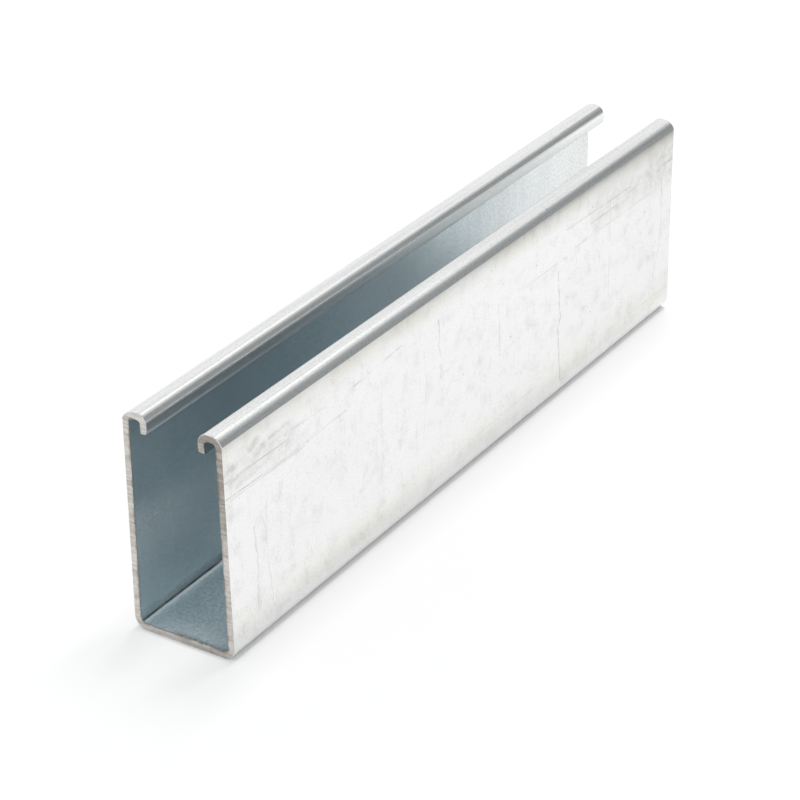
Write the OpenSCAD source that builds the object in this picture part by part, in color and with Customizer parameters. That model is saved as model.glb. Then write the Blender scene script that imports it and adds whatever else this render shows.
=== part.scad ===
// Deep strut channel: one length of cold-rolled galvanised steel section with in-turned lips.
// It lies on its back with the open slot facing up, and its length runs along Y.
// The origin is the middle of the underside, and Z = 0 is the surface it rests on.

/* [Section] */
// Width over the outside of the two side walls
channel_width = 41.3; // [36:0.1:64]
// Height from the underside of the back to the top of the lips
channel_height = 82.6; // [40:0.1:100]
// Thickness of the steel sheet
sheet_thickness = 2.66; // [1.5:0.01:3]
// Inside radius of the bends between the back and the side walls
back_bend_radius = 2.3; // [0.5:0.05:4]

/* [Lips] */
// Width of a lip, from the outside of its wall to its slot face
lip_width = 9.55; // [9:0.05:13]
// Depth of a lip, from its top down to its free edge
lip_depth = 7.1; // [5.7:0.05:12]
// Inside radius of the two bends of a lip
lip_bend_radius = 1.15; // [0.4:0.05:1.4]
// Radius of the rounded corner on the slot side of a lip's free edge
lip_edge_radius = 0.8; // [0.2:0.05:1.2]

/* [Length] */
// Length between the two sawn ends
channel_length = 304.8; // [50:0.1:3000]

/* [Hidden] */
$fn = 96;

// Outside radii of the bends, one sheet thickness outside the inside radii
back_bend_outside = back_bend_radius + sheet_thickness;
lip_bend_outside = lip_bend_radius + sheet_thickness;

// Shoulder over a lip's outer bend: an arc flatter than the bend, which ends at the wall in a crease
shoulder_radius_share = 1.36;
crease_depth_share = 0.81;
shoulder_radius = lip_bend_outside * shoulder_radius_share;
crease_depth = lip_bend_outside * crease_depth_share;
shoulder_reach = sqrt(crease_depth * (shoulder_radius + shoulder_radius - crease_depth));

// Faces of one side, measured from the middle plane
wall_outer_x = channel_width / 2;
wall_inner_x = wall_outer_x - sheet_thickness;
lip_slot_x = wall_outer_x - lip_width;
lip_groove_x = lip_slot_x + sheet_thickness;

// Faces of a lip, measured from the underside of the back
lip_inner_z = channel_height - sheet_thickness;
lip_edge_z = channel_height - lip_depth;

// Middles of the bends of one side
back_bend_x = wall_outer_x - back_bend_outside;
outer_lip_bend_x = wall_outer_x - lip_bend_outside;
inner_lip_bend_x = lip_slot_x + lip_bend_outside;
lip_bend_z = channel_height - lip_bend_outside;
shoulder_x = wall_outer_x - shoulder_reach;
shoulder_z = channel_height - shoulder_radius;

// Flat stretch of sheet that fills the rectangle between two opposite corners
module flat_stretch(low, high) {
    translate(low) square(high - low);
}

// Quarter-turn bend of the sheet about the origin, in the quadrant between +X and +Y
module bend(inside_radius) {
    outside_radius = inside_radius + sheet_thickness;
    intersection() {
        difference() {
            circle(r = outside_radius);
            circle(r = inside_radius);
        }
        square(outside_radius);
    }
}

// Outer bend of a lip, under its flatter shoulder
module lip_shoulder() {
    difference() {
        intersection() {
            translate([shoulder_x, shoulder_z]) circle(r = shoulder_radius);
            union() {
                flat_stretch([shoulder_x, lip_inner_z], [wall_outer_x, channel_height]);
                flat_stretch([outer_lip_bend_x, lip_bend_z], [wall_outer_x, lip_inner_z]);
            }
        }
        translate([outer_lip_bend_x, lip_bend_z]) circle(r = lip_bend_radius);
    }
}

// Leg of a lip that hangs down beside the slot, its free edge rounded on the slot side
module lip_leg() {
    edge_round_x = lip_slot_x + lip_edge_radius;
    edge_round_z = lip_edge_z + lip_edge_radius;
    flat_stretch([lip_slot_x, edge_round_z], [lip_groove_x, lip_bend_z]);
    flat_stretch([edge_round_x, lip_edge_z], [lip_groove_x, edge_round_z]);
    intersection() {
        translate([edge_round_x, edge_round_z]) circle(r = lip_edge_radius);
        flat_stretch([lip_slot_x, lip_edge_z], [edge_round_x, edge_round_z]);
    }
}

// One side of the section: the back bend, the wall, and the lip with its shoulder, its bend and its leg
module side_section() {
    translate([back_bend_x, back_bend_outside]) rotate(-90) bend(back_bend_radius);
    flat_stretch([wall_inner_x, back_bend_outside], [wall_outer_x, lip_bend_z]);
    lip_shoulder();
    flat_stretch([inner_lip_bend_x, lip_inner_z], [shoulder_x, channel_height]);
    translate([inner_lip_bend_x, lip_bend_z]) rotate(90) bend(lip_bend_radius);
    lip_leg();
}

// Whole section of the sheet, as it leaves the rolls
module channel_section() {
    flat_stretch([-back_bend_x, 0], [back_bend_x, sheet_thickness]);
    side_section();
    mirror([1, 0]) side_section();
}

// The channel, sawn square at both ends
module strut_channel() {
    color("gainsboro")
        rotate([90, 0, 0])
            linear_extrude(height = channel_length, center = true)
                channel_section();
}

strut_channel();
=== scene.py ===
"""Looks of the strut channel: its galvanised sheet, its sawn ends and a plain studio round it."""

import math

import bpy
import numpy as np
from mathutils import Matrix, Vector


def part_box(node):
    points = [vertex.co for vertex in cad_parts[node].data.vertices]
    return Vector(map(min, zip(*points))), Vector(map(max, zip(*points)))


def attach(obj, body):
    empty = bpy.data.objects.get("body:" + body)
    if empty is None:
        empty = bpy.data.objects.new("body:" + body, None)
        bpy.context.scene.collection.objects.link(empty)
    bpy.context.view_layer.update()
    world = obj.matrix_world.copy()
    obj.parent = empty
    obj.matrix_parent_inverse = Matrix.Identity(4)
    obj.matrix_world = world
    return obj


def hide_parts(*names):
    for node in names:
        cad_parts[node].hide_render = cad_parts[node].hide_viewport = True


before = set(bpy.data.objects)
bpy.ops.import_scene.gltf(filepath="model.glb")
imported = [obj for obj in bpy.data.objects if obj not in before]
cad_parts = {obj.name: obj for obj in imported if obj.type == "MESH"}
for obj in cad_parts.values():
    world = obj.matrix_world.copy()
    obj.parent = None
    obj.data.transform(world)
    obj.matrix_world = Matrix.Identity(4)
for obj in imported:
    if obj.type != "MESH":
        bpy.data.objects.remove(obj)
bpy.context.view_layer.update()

# Sizes, in metres
MM = 0.001
NODE = "strut_channel"

box_low, box_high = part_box(NODE)
WIDTH, LENGTH, HEIGHT = box_high - box_low
NEAR_END, FAR_END = -LENGTH / 2, LENGTH / 2
SHEET = 2.66 * MM
BACK_BEND = 2.3 * MM
LIP_WIDTH = 9.55 * MM
LIP_DEPTH = 7.1 * MM
LIP_BEND = 1.15 * MM
LIP_EDGE = 0.8 * MM
SHOULDER_RADIUS_SHARE = 1.36
CREASE_DEPTH_SHARE = 0.81

# Faces and bend middles of one side of the section
WALL_OUTER = WIDTH / 2
WALL_INNER = WALL_OUTER - SHEET
LIP_SLOT = WALL_OUTER - LIP_WIDTH
LIP_GROOVE = LIP_SLOT + SHEET
LIP_INNER_Z = HEIGHT - SHEET
LIP_EDGE_Z = HEIGHT - LIP_DEPTH
BACK_OUTSIDE = BACK_BEND + SHEET
LIP_OUTSIDE = LIP_BEND + SHEET
BACK_BEND_X = WALL_OUTER - BACK_OUTSIDE
OUTER_LIP_BEND_X = WALL_OUTER - LIP_OUTSIDE
INNER_LIP_BEND_X = LIP_SLOT + LIP_OUTSIDE
LIP_BEND_Z = HEIGHT - LIP_OUTSIDE
SHOULDER_RADIUS = LIP_OUTSIDE * SHOULDER_RADIUS_SHARE
CREASE_DEPTH = LIP_OUTSIDE * CREASE_DEPTH_SHARE
CREASE_Z = HEIGHT - CREASE_DEPTH
SHOULDER_X = WALL_OUTER - math.sqrt(CREASE_DEPTH * (2 * SHOULDER_RADIUS - CREASE_DEPTH))
SHOULDER_Z = HEIGHT - SHOULDER_RADIUS

# How the walls of the near end draw in, as rolled sections do where they are sawn
NEAR_TOE_IN = math.radians(0.63)
NEAR_RIGHT_IN = 0.4 * MM

# Camera, fitted to the edges of the photograph
PHOTO_PIXELS = 800
FOCAL_PIXELS = 2506.5
CAMERA_DISTANCE = 0.91628
CAMERA_AZIMUTH = math.radians(32.857)
CAMERA_ELEVATION = math.radians(28.287)
CAMERA_ROLL = math.radians(-0.872)
CAMERA_RIGHT = -10.769 * MM
CAMERA_UP = -18.002 * MM
SENSOR_WIDTH = 36.0


def make_camera():
    """Camera at the photograph's viewing angle."""
    a, e, r = CAMERA_AZIMUTH, CAMERA_ELEVATION, CAMERA_ROLL
    back = Vector((math.sin(a) * math.cos(e), -math.cos(a) * math.cos(e), math.sin(e)))
    level_right = Vector((math.cos(a), math.sin(a), 0))
    level_up = back.cross(level_right)
    right = math.cos(r) * level_right + math.sin(r) * level_up
    up = math.cos(r) * level_up - math.sin(r) * level_right
    middle = Vector((0, 0, HEIGHT / 2))
    place = middle + right * CAMERA_RIGHT + up * CAMERA_UP + back * CAMERA_DISTANCE
    data = bpy.data.cameras.new("camera")
    data.sensor_width = SENSOR_WIDTH
    data.lens = SENSOR_WIDTH * FOCAL_PIXELS / PHOTO_PIXELS
    data.clip_start = 0.01
    data.clip_end = 50
    camera = bpy.data.objects.new("camera", data)
    camera.matrix_world = Matrix((
        (right.x, up.x, back.x, place.x),
        (right.y, up.y, back.y, place.y),
        (right.z, up.z, back.z, place.z),
        (0, 0, 0, 1),
    ))
    bpy.context.scene.collection.objects.link(camera)
    bpy.context.scene.camera = camera


# Outline of the section


def line(start, end, steps, normal):
    """Points of a straight stretch, with the normal that points out of the steel."""
    shares = np.linspace(0, 1, steps + 1)[:, None]
    points = np.array(start) * (1 - shares) + np.array(end) * shares
    return points, np.tile(np.array(normal, float), (steps + 1, 1))


def arc(middle, radius, first, last, steps, side=1):
    """Points of a bend between two angles in degrees; side is -1 where the steel is outside the arc."""
    angles = np.radians(np.linspace(first, last, steps + 1))
    radial = np.stack([np.cos(angles), np.sin(angles)], 1)
    return np.array(middle) + radius * radial, side * radial


def joined(*stretches):
    """One run of points and normals from stretches that follow each other."""
    points = np.concatenate([stretches[0][0]] + [p[1:] for p, _ in stretches[1:]])
    normals = np.concatenate([stretches[0][1]] + [n[1:] for _, n in stretches[1:]])
    return points, normals


BACK_STEPS, BEND_STEPS, WALL_STEPS, TOP_STEPS, LEG_STEPS, EDGE_STEPS = 36, 12, 30, 2, 3, 5


def half_outline():
    """Outer and inner outline of the right half, from the middle of the back to the lip's free edge."""
    crease_angle = math.degrees(math.asin((CREASE_Z - SHOULDER_Z) / SHOULDER_RADIUS))
    edge_middle = (LIP_SLOT + LIP_EDGE, LIP_EDGE_Z + LIP_EDGE)
    outer = joined(
        line((0, 0), (BACK_BEND_X, 0), BACK_STEPS, (0, -1)),
        arc((BACK_BEND_X, BACK_OUTSIDE), BACK_OUTSIDE, -90, 0, BEND_STEPS),
        line((WALL_OUTER, BACK_OUTSIDE), (WALL_OUTER, CREASE_Z), WALL_STEPS, (1, 0)),
        arc((SHOULDER_X, SHOULDER_Z), SHOULDER_RADIUS, crease_angle, 90, BEND_STEPS),
        line((SHOULDER_X, HEIGHT), (INNER_LIP_BEND_X, HEIGHT), TOP_STEPS, (0, 1)),
        arc((INNER_LIP_BEND_X, LIP_BEND_Z), LIP_OUTSIDE, 90, 180, BEND_STEPS),
        line((LIP_SLOT, LIP_BEND_Z), (LIP_SLOT, LIP_EDGE_Z + LIP_EDGE), LEG_STEPS, (-1, 0)),
        arc(edge_middle, LIP_EDGE, 180, 270, EDGE_STEPS),
    )
    inner = joined(
        line((0, SHEET), (BACK_BEND_X, SHEET), BACK_STEPS, (0, 1)),
        arc((BACK_BEND_X, BACK_OUTSIDE), BACK_BEND, -90, 0, BEND_STEPS, -1),
        line((WALL_INNER, BACK_OUTSIDE), (WALL_INNER, LIP_BEND_Z), WALL_STEPS, (-1, 0)),
        arc((OUTER_LIP_BEND_X, LIP_BEND_Z), LIP_BEND, 0, 90, BEND_STEPS, -1),
        line((OUTER_LIP_BEND_X, LIP_INNER_Z), (INNER_LIP_BEND_X, LIP_INNER_Z), TOP_STEPS, (0, -1)),
        arc((INNER_LIP_BEND_X, LIP_BEND_Z), LIP_BEND, 90, 180, BEND_STEPS, -1),
        line((LIP_GROOVE, LIP_BEND_Z), (LIP_GROOVE, LIP_EDGE_Z), LEG_STEPS + EDGE_STEPS, (1, 0)),
    )
    return outer, inner


def mirrored(half):
    """Whole run from the left lip's edge to the right lip's edge, from its right half."""
    flip = np.array([-1, 1])
    points, normals = half
    return (
        np.concatenate([points[:0:-1] * flip, points]),
        np.concatenate([normals[:0:-1] * flip, normals]),
    )


def run_length(points):
    """Distance along a run of points, in metres."""
    return np.concatenate([[0], np.cumsum(np.linalg.norm(np.diff(points, axis=0), axis=1))])


def outer_run(height):
    """Distance along the outer outline from the middle of the back to a height on the wall."""
    return BACK_BEND_X + BACK_OUTSIDE * math.pi / 2 + height - BACK_OUTSIDE


CREASE_RUN = outer_run(CREASE_Z)
FOOT_RUN = outer_run(BACK_OUTSIDE)
SHOULDER_TURN = math.acos((CREASE_Z - SHOULDER_Z) / SHOULDER_RADIUS)
LIP_TOP_RUN = CREASE_RUN + SHOULDER_RADIUS * SHOULDER_TURN + SHOULDER_X - INNER_LIP_BEND_X
LIP_EDGE_RUN = LIP_TOP_RUN + LIP_OUTSIDE * math.pi / 2 + LIP_BEND_Z - LIP_EDGE_Z - LIP_EDGE
INSIDE_WALL_RUN = BACK_BEND_X + BACK_BEND * math.pi / 2

# Mesh of the channel

END_ROUND = 0.16 * MM
STATION_STEP = 2.8 * MM
ACROSS_STEPS = 4
BURR_HEIGHT = 0.55 * MM
BURR_FROM, BURR_TO = -7 * MM, 16.5 * MM
BURR_REACH = 0.7 * MM
BURR_SEED = 7
BURR_RAGGEDNESS = 1.6
BURR_FLATNESS = 4
WALLS, LIPS, INSIDE, SAWN = range(4)
SHARP_ANGLE = math.radians(24)


def stations():
    """Places along the length with how far the outline draws in there to round the sawn edges."""
    round_share = 1 - math.sqrt(0.5)
    rounding = [(0, END_ROUND), (END_ROUND * round_share, END_ROUND * round_share), (END_ROUND, 0)]
    rounding += [(BURR_REACH / 2, 0), (BURR_REACH, 0)]
    steps = int(LENGTH / STATION_STEP)
    between = np.linspace(NEAR_END + BURR_REACH, FAR_END - BURR_REACH, steps + 1)[1:-1]
    near = [(NEAR_END + depth, inset) for depth, inset in rounding]
    far = [(FAR_END - depth, inset) for depth, inset in reversed(rounding)]
    return near + [(y, 0) for y in between] + far


def burr(outline):
    """Height of the ragged burr that the saw left on the inside of the back, at the near end."""
    points = outline[0]
    ragged = np.random.default_rng(BURR_SEED).random(len(points)) ** BURR_RAGGEDNESS
    middle, reach = (BURR_FROM + BURR_TO) / 2, (BURR_TO - BURR_FROM) / 2
    inside = np.clip(1 - np.abs((points[:, 0] - middle) / reach) ** BURR_FLATNESS, 0, 1)
    on_back = points[:, 1] < SHEET + BACK_BEND
    return BURR_HEIGHT * ragged * inside * on_back


def placed(outline, y, inset):
    """Outline points at one station, in the frame, with the walls drawn in toward the near end."""
    points, normals = outline
    flat = points - normals * inset
    share = 0.5 - y / LENGTH
    x = flat[:, 0] - np.sign(flat[:, 0]) * math.tan(NEAR_TOE_IN) * share * flat[:, 1]
    x -= NEAR_RIGHT_IN * share * np.clip(flat[:, 0] / BACK_BEND_X, 0, 1)
    return np.stack([x, np.full(len(flat), y), flat[:, 1]], 1)


def strip_faces(columns, rows, first, flip):
    """Quads of a grid whose vertices run row by row from first."""
    faces = []
    for r in range(rows - 1):
        for c in range(columns - 1):
            a = first + r * columns + c
            quad = (a, a + 1, a + 1 + columns, a + columns)
            faces.append(quad[::-1] if flip else quad)
    return faces


def ring_faces(rings, flip):
    """Quads between rings of vertices that follow each other across the sheet."""
    faces = []
    for low, high in zip(rings, rings[1:]):
        for c in range(len(low) - 1):
            quad = (low[c], high[c], high[c + 1], low[c + 1])
            faces.append(quad[::-1] if flip else quad)
    return faces


def sheet_values(run, y, share):
    """Distance along the length, distance from the middle of the back, and share across the sheet."""
    return np.stack([np.full(len(run), y), run, np.full(len(run), float(share))], 1)


def make_channel(materials):
    """The channel as one closed mesh: outer skin, inner skin, lip edges and sawn ends."""
    outer, inner = (mirrored(half) for half in half_outline())
    places = stations()
    columns, rows = len(outer[0]), len(places)
    vertices = [placed(outer, y, inset) for y, inset in places]
    vertices += [placed(inner, y, inset) for y, inset in places]
    lift = burr(inner)
    for row, (y, _) in enumerate(places):
        fade = max(0, 1 - (y - NEAR_END) / BURR_REACH)
        vertices[rows + row][:, 2] += lift * fade
    count = columns * rows

    faces = strip_faces(columns, rows, 0, False)
    faces += strip_faces(columns, rows, count, True)
    for r in range(rows - 1):
        low, high = r * columns, (r + 1) * columns
        faces.append((low, high, count + high, count + low))
        last = columns - 1
        faces.append((count + low + last, count + high + last, high + last, low + last))
    skin_faces = len(faces)

    # Sawn ends, in rows across the sheet
    total = 2 * count
    lengths = [run_length(points) for points in (outer[0], inner[0])]
    runs = [length - length[-1] / 2 for length in lengths]
    values = [sheet_values(runs[side], y, side) for side in range(2) for y, _ in places]
    for end in (0, rows - 1):
        rings = [end * columns + np.arange(columns)]
        outer_ring, inner_ring = vertices[end], vertices[rows + end]
        for k in range(1, ACROSS_STEPS):
            share = k / ACROSS_STEPS
            vertices.append(outer_ring * (1 - share) + inner_ring * share)
            values.append(sheet_values(runs[0], places[end][0], share))
            rings.append(total + np.arange(columns))
            total += columns
        rings.append(count + end * columns + np.arange(columns))
        faces += ring_faces(rings, end > 0)

    mesh = bpy.data.meshes.new("channel")
    mesh.from_pydata(np.concatenate(vertices).tolist(), [], [tuple(int(v) for v in f) for f in faces])
    attribute = mesh.attributes.new("sheet", "FLOAT_VECTOR", "POINT")
    attribute.data.foreach_set("vector", np.concatenate(values).astype(np.float32).ravel())
    for material in materials:
        mesh.materials.append(material)
    middles = np.abs(runs[0][1:] + runs[0][:-1]) / 2
    index = np.concatenate([
        np.tile(np.where(middles > CREASE_RUN, LIPS, WALLS), rows - 1),
        np.full((rows - 1) * (columns - 1), INSIDE),
        np.full(2 * (rows - 1), LIPS),
        np.full(len(faces) - skin_faces, SAWN),
    ])
    mesh.polygons.foreach_set("material_index", index.astype(np.int32))
    mesh.shade_smooth()
    mesh.set_sharp_from_angle(angle=SHARP_ANGLE)
    mesh.update()
    channel = bpy.data.objects.new("galvanised_channel", mesh)
    bpy.context.scene.collection.objects.link(channel)
    return channel


# Node helpers


def connect(tree, value, socket):
    """Feed a socket from another socket, or set it."""
    if isinstance(value, bpy.types.NodeSocket):
        tree.links.new(value, socket)
    else:
        socket.default_value = value


def add(tree, kind, inputs, **settings):
    """New node with its settings and its inputs by name or number."""
    node = tree.nodes.new(kind)
    for name, value in settings.items():
        setattr(node, name, value)
    for key, value in inputs.items():
        connect(tree, value, node.inputs[key])
    return node


def calc(tree, operation, a, b=0.0, c=0.0, clamp=False):
    """Result of a sum with numbers."""
    node = add(tree, "ShaderNodeMath", {0: a, 1: b, 2: c}, operation=operation, use_clamp=clamp)
    return node.outputs[0]


def vector_calc(tree, operation, a, b):
    """Result of a sum with two vectors."""
    node = add(tree, "ShaderNodeVectorMath", {0: a, 1: b}, operation=operation)
    return node.outputs["Value" if operation == "DOT_PRODUCT" else "Vector"]


def remap(tree, value, low, high, to_low=0.0, to_high=1.0):
    """Smooth step of a value from one range to another."""
    inputs = {"Value": value, "From Min": low, "From Max": high, "To Min": to_low, "To Max": to_high}
    return add(tree, "ShaderNodeMapRange", inputs, interpolation_type="SMOOTHSTEP").outputs["Result"]


def blend(tree, factor, a, b, mode="MIX"):
    """Colour a turned into colour b by a factor."""
    colors = [c if isinstance(c, bpy.types.NodeSocket) else (*c, 1) for c in (a, b)]
    inputs = {0: factor, 6: colors[0], 7: colors[1]}
    return add(tree, "ShaderNodeMix", inputs, data_type="RGBA", blend_type=mode).outputs[2]


def noise(tree, vector, per_metre, detail=2.0, roughness=0.5):
    """Noise with a number of lumps per metre along each axis."""
    if not isinstance(per_metre, tuple):
        per_metre = (per_metre,) * 3
    scaled = vector_calc(tree, "MULTIPLY", vector, per_metre)
    inputs = {"Vector": scaled, "Scale": 1.0, "Detail": detail, "Roughness": roughness}
    return add(tree, "ShaderNodeTexNoise", inputs).outputs[0]


def new_material(name, metallic):
    """New material with its node tree and its shader."""
    material = bpy.data.materials.new(name)
    material.use_nodes = True
    tree = material.node_tree
    shader = tree.nodes["Principled BSDF"]
    shader.inputs["Metallic"].default_value = metallic
    return material, tree, shader


# Marks on the right wall: width in millimetres, strength, and the places of a line in millimetres,
# along the length from the middle and up from the floor

CRACKS = [
    (0.40, 0.50, [(-25.3, 70), (-25.6, 60), (-23.9, 51.5), (-24.6, 46.5)]),
    (0.35, 0.36, [(15.3, 59), (15.8, 44), (16.6, 37)]),
    (0.42, 0.50, [(59.6, 54), (60.2, 42), (61.5, 33.5), (59.6, 30), (61, 17), (62.2, 6.5)]),
    (0.45, 0.22, [(100, 70), (100.4, 48), (100, 27)]),
    (0.50, 0.26, [(143, 64), (144.2, 34), (139.5, 24), (138.8, 20), (134.5, 9)]),
    (0.40, 0.20, [(-36.4, 65), (-34, 51), (-36.5, 27)]),
    (0.45, 0.30, [(-138.3, 44), (-137.2, 30), (-138.4, 14)]),
    (0.40, 0.22, [(-131, 50), (-132.2, 34), (-130, 12)]),
    (0.50, 0.28, [(-118, 66), (-121, 56), (-124, 47)]),
    (0.40, 0.18, [(-62.5, 62), (-63.5, 26)]),
]
DIE_LINES = [
    (0.45, 0.60, [(-152, 60.6), (-120, 60.2), (-107, 60.4)]),
    (0.35, 0.45, [(-150, 59.3), (-110, 59.5)]),
    (0.40, 0.35, [(-107, 60.4), (-84, 61.4)]),
    (0.45, 0.50, [(-152, 66.6), (-118, 66.2)]),
    (0.45, 0.40, [(-129, 69.2), (-96, 68.2)]),
    (0.45, 0.46, [(-79.3, 68), (-49.8, 70.3)]),
    (0.45, 0.36, [(66, 68.8), (117, 67.6)]),
    (0.50, 0.34, [(84, 64.2), (117, 63.6)]),
    (0.45, 0.30, [(90, 66.2), (128, 65.6)]),
    (0.40, 0.30, [(72, 58.9), (134, 58.4)]),
    (0.40, 0.25, [(30, 57.8), (66, 57.5)]),
    (0.60, 0.28, [(102, 48.2), (126, 50.4)]),
    (0.50, 0.20, [(100, 11.5), (150, 10.5)]),
    (0.50, 0.20, [(0, 12), (45, 12.2)]),
    (0.70, 0.32, [(143, 66.8), (152.4, 66.6)]),
]
SMUDGES = [
    (2.6, 0.65, [(-154, 69.5), (-147, 69.9)]),
    (2.6, 0.75, [(-138.2, 72.6), (-134, 73.8)]),
    (2.8, 0.75, [(-135, 69.8), (-131, 70.4)]),
    (1.6, 0.60, [(-128, 71.4), (-117, 72)]),
    (1.8, 0.60, [(-150, 65.4), (-137, 67)]),
    (2.0, 0.50, [(-146, 62.6), (-134, 64)]),
    (9.0, 0.30, [(-150, 68), (-118, 66)]),
    (3.0, 0.60, [(140, 65.2), (142.5, 65.6)]),
    (14.0, 0.54, [(134, 67), (154, 67)]),
    (12.0, 0.34, [(92, 68), (134, 67)]),
    (1.4, 0.30, [(18.4, 65.4), (19.6, 65.4)]),
    (1.6, 0.40, [(106, 63.6), (117, 63.3)]),
    (1.2, 0.30, [(63, 57.5), (66, 57.1)]),
    (1.2, 0.30, [(78.5, 59.5), (81, 59.3)]),
    (4.0, 0.16, [(36, 43), (42, 39)]),
    (4.0, 0.16, [(95, 25), (102, 22)]),
]
# Line that the rolls left on the left lip's bend, near the far end
LIP_LINE_TURN = math.radians(35)
LIP_LINE_FROM = 119 * MM
LIP_LINE_WIDTH = 0.35 * MM


def mark_group():
    """Node group that masks a tapering line between two places of the sheet."""
    tree = bpy.data.node_groups.new("sheet_mark", "ShaderNodeTree")
    for name, kind in (("Place", "Vector"), ("Start", "Vector"), ("End", "Vector"), ("Width", "Float")):
        tree.interface.new_socket(name, in_out="INPUT", socket_type="NodeSocket" + kind)
    tree.interface.new_socket("Mask", in_out="OUTPUT", socket_type="NodeSocketFloat")
    given = tree.nodes.new("NodeGroupInput").outputs
    away = vector_calc(tree, "SUBTRACT", given["Place"], given["Start"])
    line_vector = vector_calc(tree, "SUBTRACT", given["End"], given["Start"])
    across = vector_calc(tree, "DOT_PRODUCT", away, line_vector)
    square = vector_calc(tree, "DOT_PRODUCT", line_vector, line_vector)
    # A node of its own does the clamping, because a clamped sum here makes the shader too large
    share = calc(tree, "DIVIDE", across, square)
    share = add(tree, "ShaderNodeClamp", {"Value": share}).outputs[0]
    scale = add(tree, "ShaderNodeVectorMath", {0: line_vector, "Scale": share}, operation="SCALE")
    gap = vector_calc(tree, "SUBTRACT", away, scale.outputs["Vector"])
    length = add(tree, "ShaderNodeVectorMath", {0: gap}, operation="LENGTH").outputs["Value"]
    ratio = calc(tree, "DIVIDE", length, given["Width"])
    mask = remap(tree, ratio, 1.0, 0.1)
    result = tree.nodes.new("NodeGroupOutput")
    tree.links.new(mask, result.inputs["Mask"])
    return tree


def mark_mask(tree, place, group, width, first, last):
    """Mask of one line between two places of the sheet, in metres."""
    node = tree.nodes.new("ShaderNodeGroup")
    node.node_tree = group
    tree.links.new(place, node.inputs["Place"])
    node.inputs["Start"].default_value = (*first, 0)
    node.inputs["End"].default_value = (*last, 0)
    node.inputs["Width"].default_value = width
    return node.outputs["Mask"]


def marks_mask(tree, place, marks, group):
    """Strongest of the masks of a list of marks on the right wall."""
    total = None
    for width, strength, points in marks:
        places = [(y * MM, outer_run(z * MM)) for y, z in points]
        for first, last in zip(places, places[1:]):
            mask = mark_mask(tree, place, group, width * MM, first, last)
            mask = calc(tree, "MULTIPLY", mask, strength)
            total = mask if total is None else calc(tree, "MAXIMUM", total, mask)
    return total


# Materials

ZINC_WALL = (0.957, 0.957, 0.955)
ZINC_LIP = (0.958, 0.965, 0.960)
INSIDE_PAINTED_END_LIGHT = (0.850, 0.950, 0.988)
INSIDE_ZINC_AND_PAINTED_BLUE = (0.799, 0.887, 0.927)
ZINC_INSIDE_FAR = (0.836, 0.852, 0.855)
ZINC_DRY_AND_SHEEN = (0.93, 0.98, 1.0)
WEAR_TINT = (0.78, 0.78, 0.78)
EDGE_TINT = (0.62, 0.68, 0.72)
STAIN_TINT = (0.91, 0.89, 0.83)
CREASE_GRIME_AND_SHADE_TINT = (0.13, 0.13, 0.135)
MARK_TINT = (0.42, 0.42, 0.41)
SMUDGE_TINT = (0.54, 0.52, 0.49)
SPECK_TINT = (0.62, 0.61, 0.59)
DARK_MARK_TINT = (0.16, 0.15, 0.13)
GROOVE_SHADE_TINT = (0.62, 0.60, 0.58)

# Runs across the sheet between which a look sets in, each from and to
FOOT_WEAR_AND_SHADE = (FOOT_RUN + 10 * MM, FOOT_RUN)
CREASE_STAIN = (CREASE_RUN - 9 * MM, CREASE_RUN - 1 * MM)
FOOT_STAIN = (FOOT_RUN + 16 * MM, FOOT_RUN + 5 * MM)
FOOT_CLEAN = (FOOT_RUN, FOOT_RUN + 4 * MM)
SLOT_FACE = (LIP_TOP_RUN + LIP_OUTSIDE, LIP_TOP_RUN + LIP_OUTSIDE * math.pi / 2)
FREE_EDGE = (LIP_EDGE_RUN - LIP_EDGE, LIP_EDGE_RUN)
BACK_INSIDE = (BACK_BEND_X, BACK_BEND_X - 3 * MM)
BURR_DIRT_AND_SHADE = (BURR_TO + 3 * MM, BURR_TO)
PAINTED_SHEEN_RUN = INSIDE_WALL_RUN + 35 * MM
PAINTED_SHEEN_BAND = (PAINTED_SHEEN_RUN + 12 * MM, PAINTED_SHEEN_RUN)
PAINTED_SHEEN_FADING = (PAINTED_SHEEN_RUN - 30 * MM, PAINTED_SHEEN_RUN)
GROOVE_RUN = INSIDE_WALL_RUN + LIP_BEND_Z - BACK_OUTSIDE
GROOVE_SHADE = (GROOVE_RUN, GROOVE_RUN + 2 * MM)

# Places along the length between which a look sets in, each from and to
FOOT_WEAR_AND_SHADE_ALONG = (FAR_END, 20 * MM)
FAR_WEAR_ALONG = (30 * MM, FAR_END)
CREASE_GRIME_AND_SHADE_ALONG = (-100 * MM, 190 * MM)
EDGE_ALONG = (60 * MM, -100 * MM)
PAINTED_END_LIGHT_ALONG = (NEAR_END, -70 * MM)
PAINTED_BLUE_FADE_ALONG = (20 * MM, 140 * MM)
DRY_ALONG = (0, NEAR_END)
FRONT_PALE_ALONG = (-139 * MM, NEAR_END)
DEEP_PALE_ALONG = (-125 * MM, -50 * MM)
FAR_PALE_ALONG = (0, 60 * MM)
BURR_DIRT_AND_SHADE_ALONG = (NEAR_END + 2.2 * MM, NEAR_END + 0.6 * MM)
END_RIM_ALONG = (NEAR_END + 0.45 * MM, NEAR_END + 0.15 * MM)

# Runs of the dark corner line and of the dull bend inside, with the distances from each between which it
# sets in, and how far down from the crease the painted shade and soiling outside thin out
CORNER_LINE_RUN = INSIDE_WALL_RUN - 1.7 * MM
CORNER_LINE = (0.62 * MM, 0.15 * MM)
DULL_BEND_RUN = (BACK_BEND_X + INSIDE_WALL_RUN) / 2
DULL_BEND = (3 * MM, 1 * MM)
CREASE_GRIME_AND_SHADE_REACH = 2.6 * MM

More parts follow.
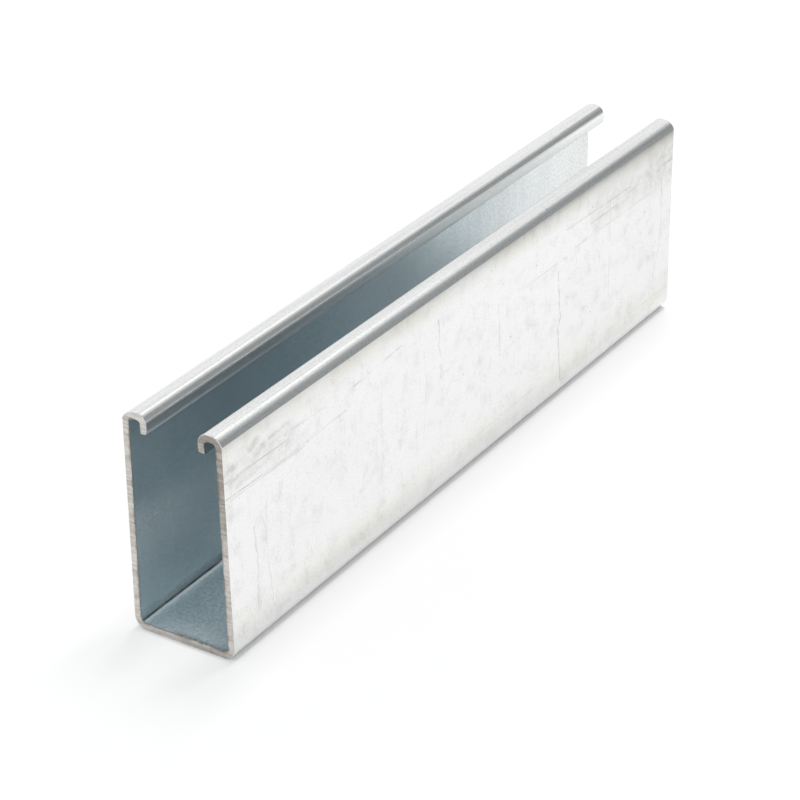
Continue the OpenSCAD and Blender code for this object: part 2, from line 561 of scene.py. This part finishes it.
# Middle value of a noise, how far it makes marks stray along and across, and heights of relief
NOISE_MIDDLE = (0.5, 0.5, 0.5)
CRACK_WOBBLE = (2.6 * MM, 0.8 * MM, 0)
SCRATCH_WOBBLE = (3 * MM, 0.3 * MM, 0)
WAVE_HEIGHT = 0.2 * MM
LINE_HEIGHT = 0.02 * MM


def weighted(tree, parts):
    """Sum of values, each times its weight."""
    total = None
    for value, weight in parts:
        part = calc(tree, "MULTIPLY", value, weight)
        total = part if total is None else calc(tree, "ADD", total, part)
    return total


def sheet_place(tree):
    """Place on the sheet, how far along it is, and how far from the middle of the back."""
    sheet = add(tree, "ShaderNodeAttribute", {}, attribute_name="sheet").outputs["Vector"]
    split = add(tree, "ShaderNodeSeparateXYZ", {0: sheet}).outputs
    return sheet, split["X"], calc(tree, "ABSOLUTE", split["Y"])


def specks(tree, sheet, per_metre, size, share):
    """Small round dots, one in some of the cells of a grid."""
    scaled = vector_calc(tree, "MULTIPLY", sheet, (per_metre,) * 3)
    cells = add(tree, "ShaderNodeTexVoronoi", {"Vector": scaled, "Scale": 1.0})
    chance = add(tree, "ShaderNodeSeparateColor", {0: cells.outputs["Color"]}).outputs[0]
    dot = remap(tree, cells.outputs["Distance"], size, size / 3)
    return calc(tree, "MULTIPLY", dot, calc(tree, "LESS_THAN", chance, share))


def set_relief(tree, shader, height, distance):
    """Bump of a material from a height between 0 and 1."""
    bump = add(tree, "ShaderNodeBump", {"Height": height, "Strength": 1.0, "Distance": distance})
    tree.links.new(bump.outputs["Normal"], shader.inputs["Normal"])


def wall_zinc(group):
    """Outside of the walls and the back: pale clouded zinc with flecks, stains, cracks and rubbed marks;
    under the crease, painted shade with soiling; toward the foot, wear and painted shade.
    """
    material, tree, shader = new_material("zinc_wall", 1.0)
    sheet, along, run = sheet_place(tree)
    clouds = remap(tree, noise(tree, sheet, 26, 3.0, 0.55), 0.35, 0.7)
    mottle = noise(tree, sheet, 130, 4.0, 0.65)
    grain = noise(tree, sheet, 1300, 3.0, 0.75)

    # Clouding and wear, with flecks that run across the length, and a darkening toward the foot, heavier
    # toward the near end, that is partly wear and partly painted shade
    flecks = remap(tree, noise(tree, sheet, (430, 200, 1), 4.0, 0.65), 0.54, 0.8)
    flecks = calc(tree, "MULTIPLY", flecks, calc(tree, "MULTIPLY_ADD", clouds, 0.65, 0.35))
    # Toward the foot: partly wear, partly painted shade where the wall meets the floor
    foot = remap(tree, run, *FOOT_WEAR_AND_SHADE)
    foot = calc(tree, "MULTIPLY", foot, remap(tree, along, *FOOT_WEAR_AND_SHADE_ALONG, 0.1, 1.0))
    wear = weighted(tree, [
        (clouds, 0.06),
        (remap(tree, mottle, 0.48, 0.78), 0.42),
        (remap(tree, grain, 0.45, 0.75), 0.6),
        (flecks, 0.6),
        (foot, 0.6),
        (remap(tree, along, *FAR_WEAR_ALONG), 0.22),
    ])
    color = blend(tree, wear, ZINC_WALL, WEAR_TINT, "MULTIPLY")

    # Stains under the crease and above the foot of the wall
    patches = remap(tree, noise(tree, sheet, (30, 60, 60), 4.0, 0.65), 0.3, 0.65)
    under_crease = remap(tree, run, *CREASE_STAIN, 0.0, 1.7)
    above_foot = remap(tree, run, *FOOT_STAIN)
    above_foot = calc(tree, "MULTIPLY", above_foot, remap(tree, run, *FOOT_CLEAN))
    stain = calc(tree, "MAXIMUM", under_crease, above_foot)
    stain = calc(tree, "MULTIPLY", stain, calc(tree, "MULTIPLY_ADD", patches, 0.55, 0.05))
    color = blend(tree, stain, color, STAIN_TINT, "MULTIPLY")

    # Grime and painted shade under the crease, heavier toward the far end
    below = calc(tree, "SUBTRACT", CREASE_RUN, run)
    grime_and_shade = calc(tree, "EXPONENT", calc(tree, "MULTIPLY", below, -1 / CREASE_GRIME_AND_SHADE_REACH))
    grime_and_shade = calc(tree, "MULTIPLY", grime_and_shade, remap(tree, along, *CREASE_GRIME_AND_SHADE_ALONG, 0.26, 0.92))
    color = blend(tree, grime_and_shade, color, CREASE_GRIME_AND_SHADE_TINT, "MULTIPLY")
    color = blend(tree, specks(tree, sheet, 210, 0.10, 0.14), color, SPECK_TINT, "MULTIPLY")

    # Marks of this piece
    wobble = add(tree, "ShaderNodeTexNoise", {"Vector": sheet, "Scale": 220.0, "Detail": 4.0})
    wobble = vector_calc(tree, "SUBTRACT", wobble.outputs["Color"], NOISE_MIDDLE)
    place = vector_calc(tree, "ADD", sheet, vector_calc(tree, "MULTIPLY", wobble, CRACK_WOBBLE))
    breaks = remap(tree, mottle, 0.3, 0.55)
    rubbed = remap(tree, noise(tree, sheet, (60, 360, 1), 4.0, 0.65), 0.34, 0.6)
    blotted = remap(tree, noise(tree, sheet, (260, 330, 1), 4.0, 0.65), 0.36, 0.66)
    cracks = calc(tree, "MULTIPLY", marks_mask(tree, place, CRACKS, group), breaks)
    crazing = calc(tree, "SUBTRACT", noise(tree, place, (75, 17, 1), 4.0, 0.6), 0.5)
    crazing = remap(tree, calc(tree, "ABSOLUTE", crazing), 0.010, 0.001)
    crazing = calc(tree, "MULTIPLY", crazing, calc(tree, "MULTIPLY", breaks, 0.12))
    straighter = vector_calc(tree, "ADD", sheet, vector_calc(tree, "MULTIPLY", wobble, SCRATCH_WOBBLE))
    scratches = calc(tree, "MULTIPLY", marks_mask(tree, straighter, DIE_LINES, group), rubbed)
    smudges = marks_mask(tree, place, SMUDGES, group)
    smudges = calc(tree, "MULTIPLY", smudges, calc(tree, "MULTIPLY_ADD", blotted, 0.6, 0.3))
    lines = calc(tree, "MAXIMUM", calc(tree, "MAXIMUM", cracks, crazing), scratches)
    color = blend(tree, smudges, color, SMUDGE_TINT, "MULTIPLY")
    color = blend(tree, lines, color, MARK_TINT, "MULTIPLY")
    tree.links.new(color, shader.inputs["Base Color"])

    # Gloss, dull where it is marked
    rough = calc(tree, "MULTIPLY_ADD", mottle, 0.14, 0.31)
    rough = calc(tree, "MULTIPLY_ADD", lines, 0.15, rough)
    tree.links.new(rough, shader.inputs["Roughness"])
    set_relief(tree, shader, weighted(tree, [(mottle, 0.1), (grain, 0.015)]), WAVE_HEIGHT)
    return material


def lip_zinc(group):
    """Lips: zinc that the rolls burnished, with fine lines along the length."""
    material, tree, shader = new_material("zinc_lip", 1.0)
    sheet, along, run = sheet_place(tree)
    fine = noise(tree, sheet, (4, 1400, 1), 4.0, 0.7)
    broad = noise(tree, sheet, (7, 330, 1), 3.0, 0.6)
    spots = noise(tree, sheet, 240, 3.0, 0.6)
    grain = noise(tree, sheet, (900, 1200, 1), 3.0, 0.7)
    wear = weighted(tree, [
        (remap(tree, fine, 0.45, 0.72), 0.5),
        (remap(tree, broad, 0.42, 0.7), 0.35),
        (remap(tree, spots, 0.5, 0.78), 0.25),
        (remap(tree, grain, 0.42, 0.72), 0.5),
    ])
    color = blend(tree, wear, ZINC_LIP, WEAR_TINT, "MULTIPLY")
    color = blend(tree, specks(tree, sheet, 170, 0.10, 0.10), color, SPECK_TINT, "MULTIPLY")

    # Line that the rolls left on the left lip
    lip_run = -LIP_TOP_RUN - LIP_OUTSIDE * LIP_LINE_TURN
    first, last = (LIP_LINE_FROM, lip_run), (FAR_END, lip_run)
    rolled = mark_mask(tree, sheet, group, LIP_LINE_WIDTH, first, last)
    color = blend(tree, calc(tree, "MULTIPLY", rolled, 0.5), color, MARK_TINT, "MULTIPLY")

    # Free edges, duller and darker toward the near end
    edge = remap(tree, run, *FREE_EDGE)
    edge = calc(tree, "MULTIPLY", edge, remap(tree, along, *EDGE_ALONG, 0.1, 0.5))
    color = blend(tree, calc(tree, "MULTIPLY", edge, 1.6), color, EDGE_TINT, "MULTIPLY")
    tree.links.new(color, shader.inputs["Base Color"])

    # Gloss, dull on the faces beside the slot
    rough = calc(tree, "MULTIPLY_ADD", broad, 0.12, 0.19)
    slot_face = remap(tree, run, *SLOT_FACE)
    rough = calc(tree, "MULTIPLY_ADD", slot_face, 0.12, rough)
    rough = calc(tree, "ADD", edge, rough)
    tree.links.new(rough, shader.inputs["Roughness"])
    relief = weighted(tree, [(fine, 0.45), (broad, 0.55), (grain, 0.35)])
    set_relief(tree, shader, relief, LINE_HEIGHT)
    return material


def inside_zinc():
    """Inside: zinc with a blue tint that is partly painted light, paler toward the open near end as painted
    light, with a pale, less metallic share, a painted sheen band, pale specks, painted shade in the
    grooves, and dark lines in the corners and by the burr.
    """
    material, tree, shader = new_material("zinc_inside", 1.0)
    sheet, along, run = sheet_place(tree)
    waves = noise(tree, sheet, (70, 45, 1), 2.0, 0.5)
    blots = noise(tree, sheet, (150, 110, 1), 5.0, 0.65)
    grain = noise(tree, sheet, 900, 3.0, 0.65)
    on_back = remap(tree, run, *BACK_INSIDE)
    pits = remap(tree, grain, 0.58, 0.38)
    wear = weighted(tree, [
        (remap(tree, blots, 0.42, 0.68), 0.12),
        (pits, 0.6),
        (calc(tree, "MULTIPLY", pits, on_back), 0.75),
        (remap(tree, waves, 0.35, 0.65), 0.2),
    ])
    # Painted light: paler toward the open near end; the blue tint, partly the zinc's own and partly painted
    # light, turns grey toward the far end
    color = blend(tree, remap(tree, along, *PAINTED_END_LIGHT_ALONG), INSIDE_PAINTED_END_LIGHT, INSIDE_ZINC_AND_PAINTED_BLUE)
    color = blend(tree, remap(tree, along, *PAINTED_BLUE_FADE_ALONG), color, ZINC_INSIDE_FAR)
    color = blend(tree, wear, color, WEAR_TINT, "MULTIPLY")

    # Dry share: grain, and a pale band on the walls that is a painted sheen, both toward the near end; more
    # on the back, and specks
    dry_grain = remap(tree, noise(tree, sheet, 1000, 3.0, 0.7), 0.40, 0.72)
    dry_and_sheen = calc(tree, "MULTIPLY_ADD", dry_grain, 0.08, 0.06)
    # Painted sheen: a paler, less metallic band at mid-height on the inner walls
    band = remap(tree, run, *PAINTED_SHEEN_BAND)
    fading = remap(tree, run, *PAINTED_SHEEN_FADING, 0.01, 0.17)
    dry_and_sheen = calc(tree, "MULTIPLY_ADD", band, fading, dry_and_sheen)
    dry_and_sheen = calc(tree, "MULTIPLY", dry_and_sheen, remap(tree, along, *DRY_ALONG, 0.3, 1.0))
    front = remap(tree, along, *FRONT_PALE_ALONG, 0.0, 0.17)
    deep = remap(tree, along, *DEEP_PALE_ALONG, 0.0, 0.14)
    far = remap(tree, along, *FAR_PALE_ALONG, 0.0, 0.16)
    pale = calc(tree, "ADD", calc(tree, "ADD", front, deep), far)
    dry_and_sheen = calc(tree, "MULTIPLY_ADD", on_back, pale, dry_and_sheen)
    large_dots = specks(tree, sheet, 240, 0.12, 0.16)
    small_dots = specks(tree, sheet, 420, 0.14, 0.16)
    dots = calc(tree, "MAXIMUM", large_dots, small_dots)
    dry_and_sheen = calc(tree, "MULTIPLY_ADD", dots, 0.5, dry_and_sheen)
    tree.links.new(calc(tree, "SUBTRACT", 1.0, dry_and_sheen, clamp=True), shader.inputs["Metallic"])
    color = blend(tree, dry_and_sheen, color, ZINC_DRY_AND_SHEEN)
    # Painted shade in the grooves under the lips
    groove = remap(tree, run, *GROOVE_SHADE)
    color = blend(tree, groove, color, GROOVE_SHADE_TINT, "MULTIPLY")

    # Dark line in the corners beside the back; soiling with painted shade beside the burr; soiling on the
    # rim of the near end
    ragged = remap(tree, noise(tree, sheet, (160, 900, 1), 3.0, 0.6), 0.25, 0.52)
    corner = calc(tree, "ABSOLUTE", calc(tree, "SUBTRACT", run, CORNER_LINE_RUN))
    corner = calc(tree, "MULTIPLY", remap(tree, corner, *CORNER_LINE), ragged)
    side = vector_calc(tree, "DOT_PRODUCT", sheet, (0, 1, 0))
    beside_burr = calc(tree, "MULTIPLY", remap(tree, run, *BURR_DIRT_AND_SHADE), remap(tree, side, BURR_FROM, 0))
    at_end = remap(tree, along, *BURR_DIRT_AND_SHADE_ALONG)
    speckled = remap(tree, grain, 0.42, 0.56, 0.0, 0.75)
    at_end = calc(tree, "MULTIPLY", calc(tree, "MULTIPLY", at_end, speckled), beside_burr)
    end_rim = remap(tree, along, *END_RIM_ALONG, 0.0, 0.75)
    dark_marks = calc(tree, "MAXIMUM", calc(tree, "MAXIMUM", corner, at_end), end_rim)
    dark_marks = calc(tree, "MULTIPLY", dark_marks, 0.9)
    color = blend(tree, dark_marks, color, DARK_MARK_TINT, "MULTIPLY")
    tree.links.new(color, shader.inputs["Base Color"])

    # Gloss, dull in the bends
    bend = calc(tree, "ABSOLUTE", calc(tree, "SUBTRACT", run, DULL_BEND_RUN))
    rough = calc(tree, "MULTIPLY_ADD", blots, 0.05, 0.23)
    rough = calc(tree, "MULTIPLY_ADD", remap(tree, bend, *DULL_BEND), 0.14, rough)
    tree.links.new(rough, shader.inputs["Roughness"])
    relief = weighted(tree, [(waves, 0.8), (blots, 0.012), (grain, 0.015)])
    set_relief(tree, shader, relief, WAVE_HEIGHT)
    return material


SAWN_STEEL = (0.73, 0.70, 0.67)
SAWN_DARK = (0.36, 0.325, 0.295)
RIM_TINT = (0.55, 0.47, 0.40)
DARK_SAWN_HEIGHTS = (40 * MM, 52 * MM)
SAW_LINE_HEIGHT = 0.03 * MM


def sawn_material():
    """Bare steel of the sawn ends, with the saw's lines across it and a browned inner rim."""
    material, tree, shader = new_material("sawn_steel", 1.0)
    place = add(tree, "ShaderNodeTexCoord", {}).outputs["Object"]
    sheet = add(tree, "ShaderNodeAttribute", {}, attribute_name="sheet").outputs["Vector"]
    split = add(tree, "ShaderNodeSeparateXYZ", {0: sheet}).outputs
    fine = noise(tree, place, (40, 40, 1500), 3.0, 0.6)
    broad = noise(tree, place, (25, 25, 420), 3.0, 0.6)
    blotches = noise(tree, place, 330, 4.0, 0.65)
    right_top = remap(tree, split["Y"], *(outer_run(height) for height in DARK_SAWN_HEIGHTS))
    # Painted shade: the back's sawn face is darkened, as if it mirrored the shadowed floor in front
    on_back = remap(tree, calc(tree, "ABSOLUTE", split["Y"]), FOOT_RUN, BACK_BEND_X)
    dark = weighted(tree, [
        (remap(tree, fine, 0.42, 0.68), 0.38),
        (remap(tree, broad, 0.42, 0.68), 0.22),
        (remap(tree, blotches, 0.42, 0.72), 0.35),
        (right_top, 0.6),
        (on_back, 0.22),
    ])
    color = blend(tree, calc(tree, "MINIMUM", dark, 1.0), SAWN_STEEL, SAWN_DARK)
    rim = calc(tree, "MULTIPLY", remap(tree, split["Z"], 0.72, 0.98), remap(tree, blotches, 0.35, 0.6))
    color = blend(tree, rim, color, RIM_TINT, "MULTIPLY")
    tree.links.new(color, shader.inputs["Base Color"])
    rough = remap(tree, fine, 0.3, 0.7, 0.42, 0.6)
    tree.links.new(rough, shader.inputs["Roughness"])
    set_relief(tree, shader, fine, SAW_LINE_HEIGHT)
    return material


# Studio

FLOOR_HALF = 3.0
FLOOR_COLOR = (0.96, 0.955, 0.945)
FLOOR_WHITE_SHARE = 0.53
FLOOR_ROUGHNESS = 0.9
FLOOR_GLOSS = 0.1
CONTACT_REACH = 4 * MM
CONTACT_EDGE = (0.4, 0.85)


def make_floor():
    """Plain pale floor that the channel lies on, white where nothing stands close over it."""
    mesh = bpy.data.meshes.new("floor")
    h = FLOOR_HALF
    mesh.from_pydata([(-h, -h, 0), (h, -h, 0), (h, h, 0), (-h, h, 0)], [], [(0, 1, 2, 3)])
    floor = bpy.data.objects.new("floor", mesh)
    bpy.context.scene.collection.objects.link(floor)
    material, tree, shader = new_material("floor_white", 0.0)
    shader.inputs["Base Color"].default_value = (*FLOOR_COLOR, 1)
    shader.inputs["Roughness"].default_value = FLOOR_ROUGHNESS
    shader.inputs["Specular IOR Level"].default_value = FLOOR_GLOSS
    white = add(tree, "ShaderNodeEmission", {"Strength": 1.0})
    path = add(tree, "ShaderNodeLightPath", {}).outputs
    seen = calc(tree, "ADD", path["Is Camera Ray"], path["Is Glossy Ray"])
    seen = calc(tree, "ADD", seen, path["Is Transmission Ray"], clamp=True)
    open_air = add(tree, "ShaderNodeAmbientOcclusion", {"Distance": CONTACT_REACH}, samples=4).outputs["AO"]
    clear = remap(tree, open_air, *CONTACT_EDGE)
    share = calc(tree, "MULTIPLY", calc(tree, "MULTIPLY", seen, clear), FLOOR_WHITE_SHARE)
    mix = add(tree, "ShaderNodeMixShader", {0: share, 1: shader.outputs[0], 2: white.outputs[0]})
    tree.links.new(mix.outputs[0], tree.nodes["Material Output"].inputs["Surface"])
    mesh.materials.append(material)


# Lamps: name, place, size, power, what it points at, and whether metal mirrors it
LAMPS = [
    ("softbox_behind", (-0.02, 0.47, 0.76), (0.25, 0.40), 0.14, (-0.02, 0.47, 0), True),
    ("softbox_floor", (0.0, 0.55, 1.7), (0.6, 0.6), 16.6, (0, 0, 0), False),
]
LAMP_COLOR = (1.0, 0.97, 0.93)
PALE_SURROUND = (0.90, 0.90, 0.90)
GREY_SURROUND = (0.285, 0.298, 0.305)
GREY_DIRECTION = (0.66, 0.71, 0.24)
GREY_EDGE = (0.72, 0.965)
CEILING_COLOR = (0.27, 0.38, 0.43)
CEILING_EDGE = (0.72, 0.90)


def make_lamps():
    """A small softbox behind, seen in the lips, and a large one that lights the floor unmirrored."""
    for name, place, size, power, aim, in_metal in LAMPS:
        data = bpy.data.lights.new(name, "AREA")
        data.shape = "RECTANGLE"
        data.size, data.size_y = size
        data.energy = power
        data.color = LAMP_COLOR
        lamp = bpy.data.objects.new(name, data)
        lamp.location = place
        toward = Vector(aim) - Vector(place)
        lamp.rotation_euler = toward.to_track_quat("-Z", "Y").to_euler()
        lamp.visible_glossy = in_metal
        bpy.context.scene.collection.objects.link(lamp)


def make_surround():
    """Pale surround with a grey side behind on the right and a dim ceiling."""
    world = bpy.data.worlds.new("studio")
    bpy.context.scene.world = world
    world.use_nodes = True
    tree = world.node_tree
    direction = add(tree, "ShaderNodeTexCoord", {}).outputs["Generated"]
    nearness = vector_calc(tree, "DOT_PRODUCT", direction, GREY_DIRECTION)
    height = add(tree, "ShaderNodeSeparateXYZ", {0: direction}).outputs["Z"]
    color = blend(tree, remap(tree, nearness, *GREY_EDGE), PALE_SURROUND, GREY_SURROUND)
    color = blend(tree, remap(tree, height, *CEILING_EDGE), color, CEILING_COLOR)
    background = tree.nodes["Background"]
    tree.links.new(color, background.inputs["Color"])
    background.inputs["Strength"].default_value = 1.0


make_camera()
make_floor()
make_lamps()
make_surround()
mark = mark_group()
channel = make_channel([wall_zinc(mark), lip_zinc(mark), inside_zinc(), sawn_material()])
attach(channel, "root")
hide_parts(NODE)

view = bpy.context.scene.view_settings
view.view_transform = "Standard"
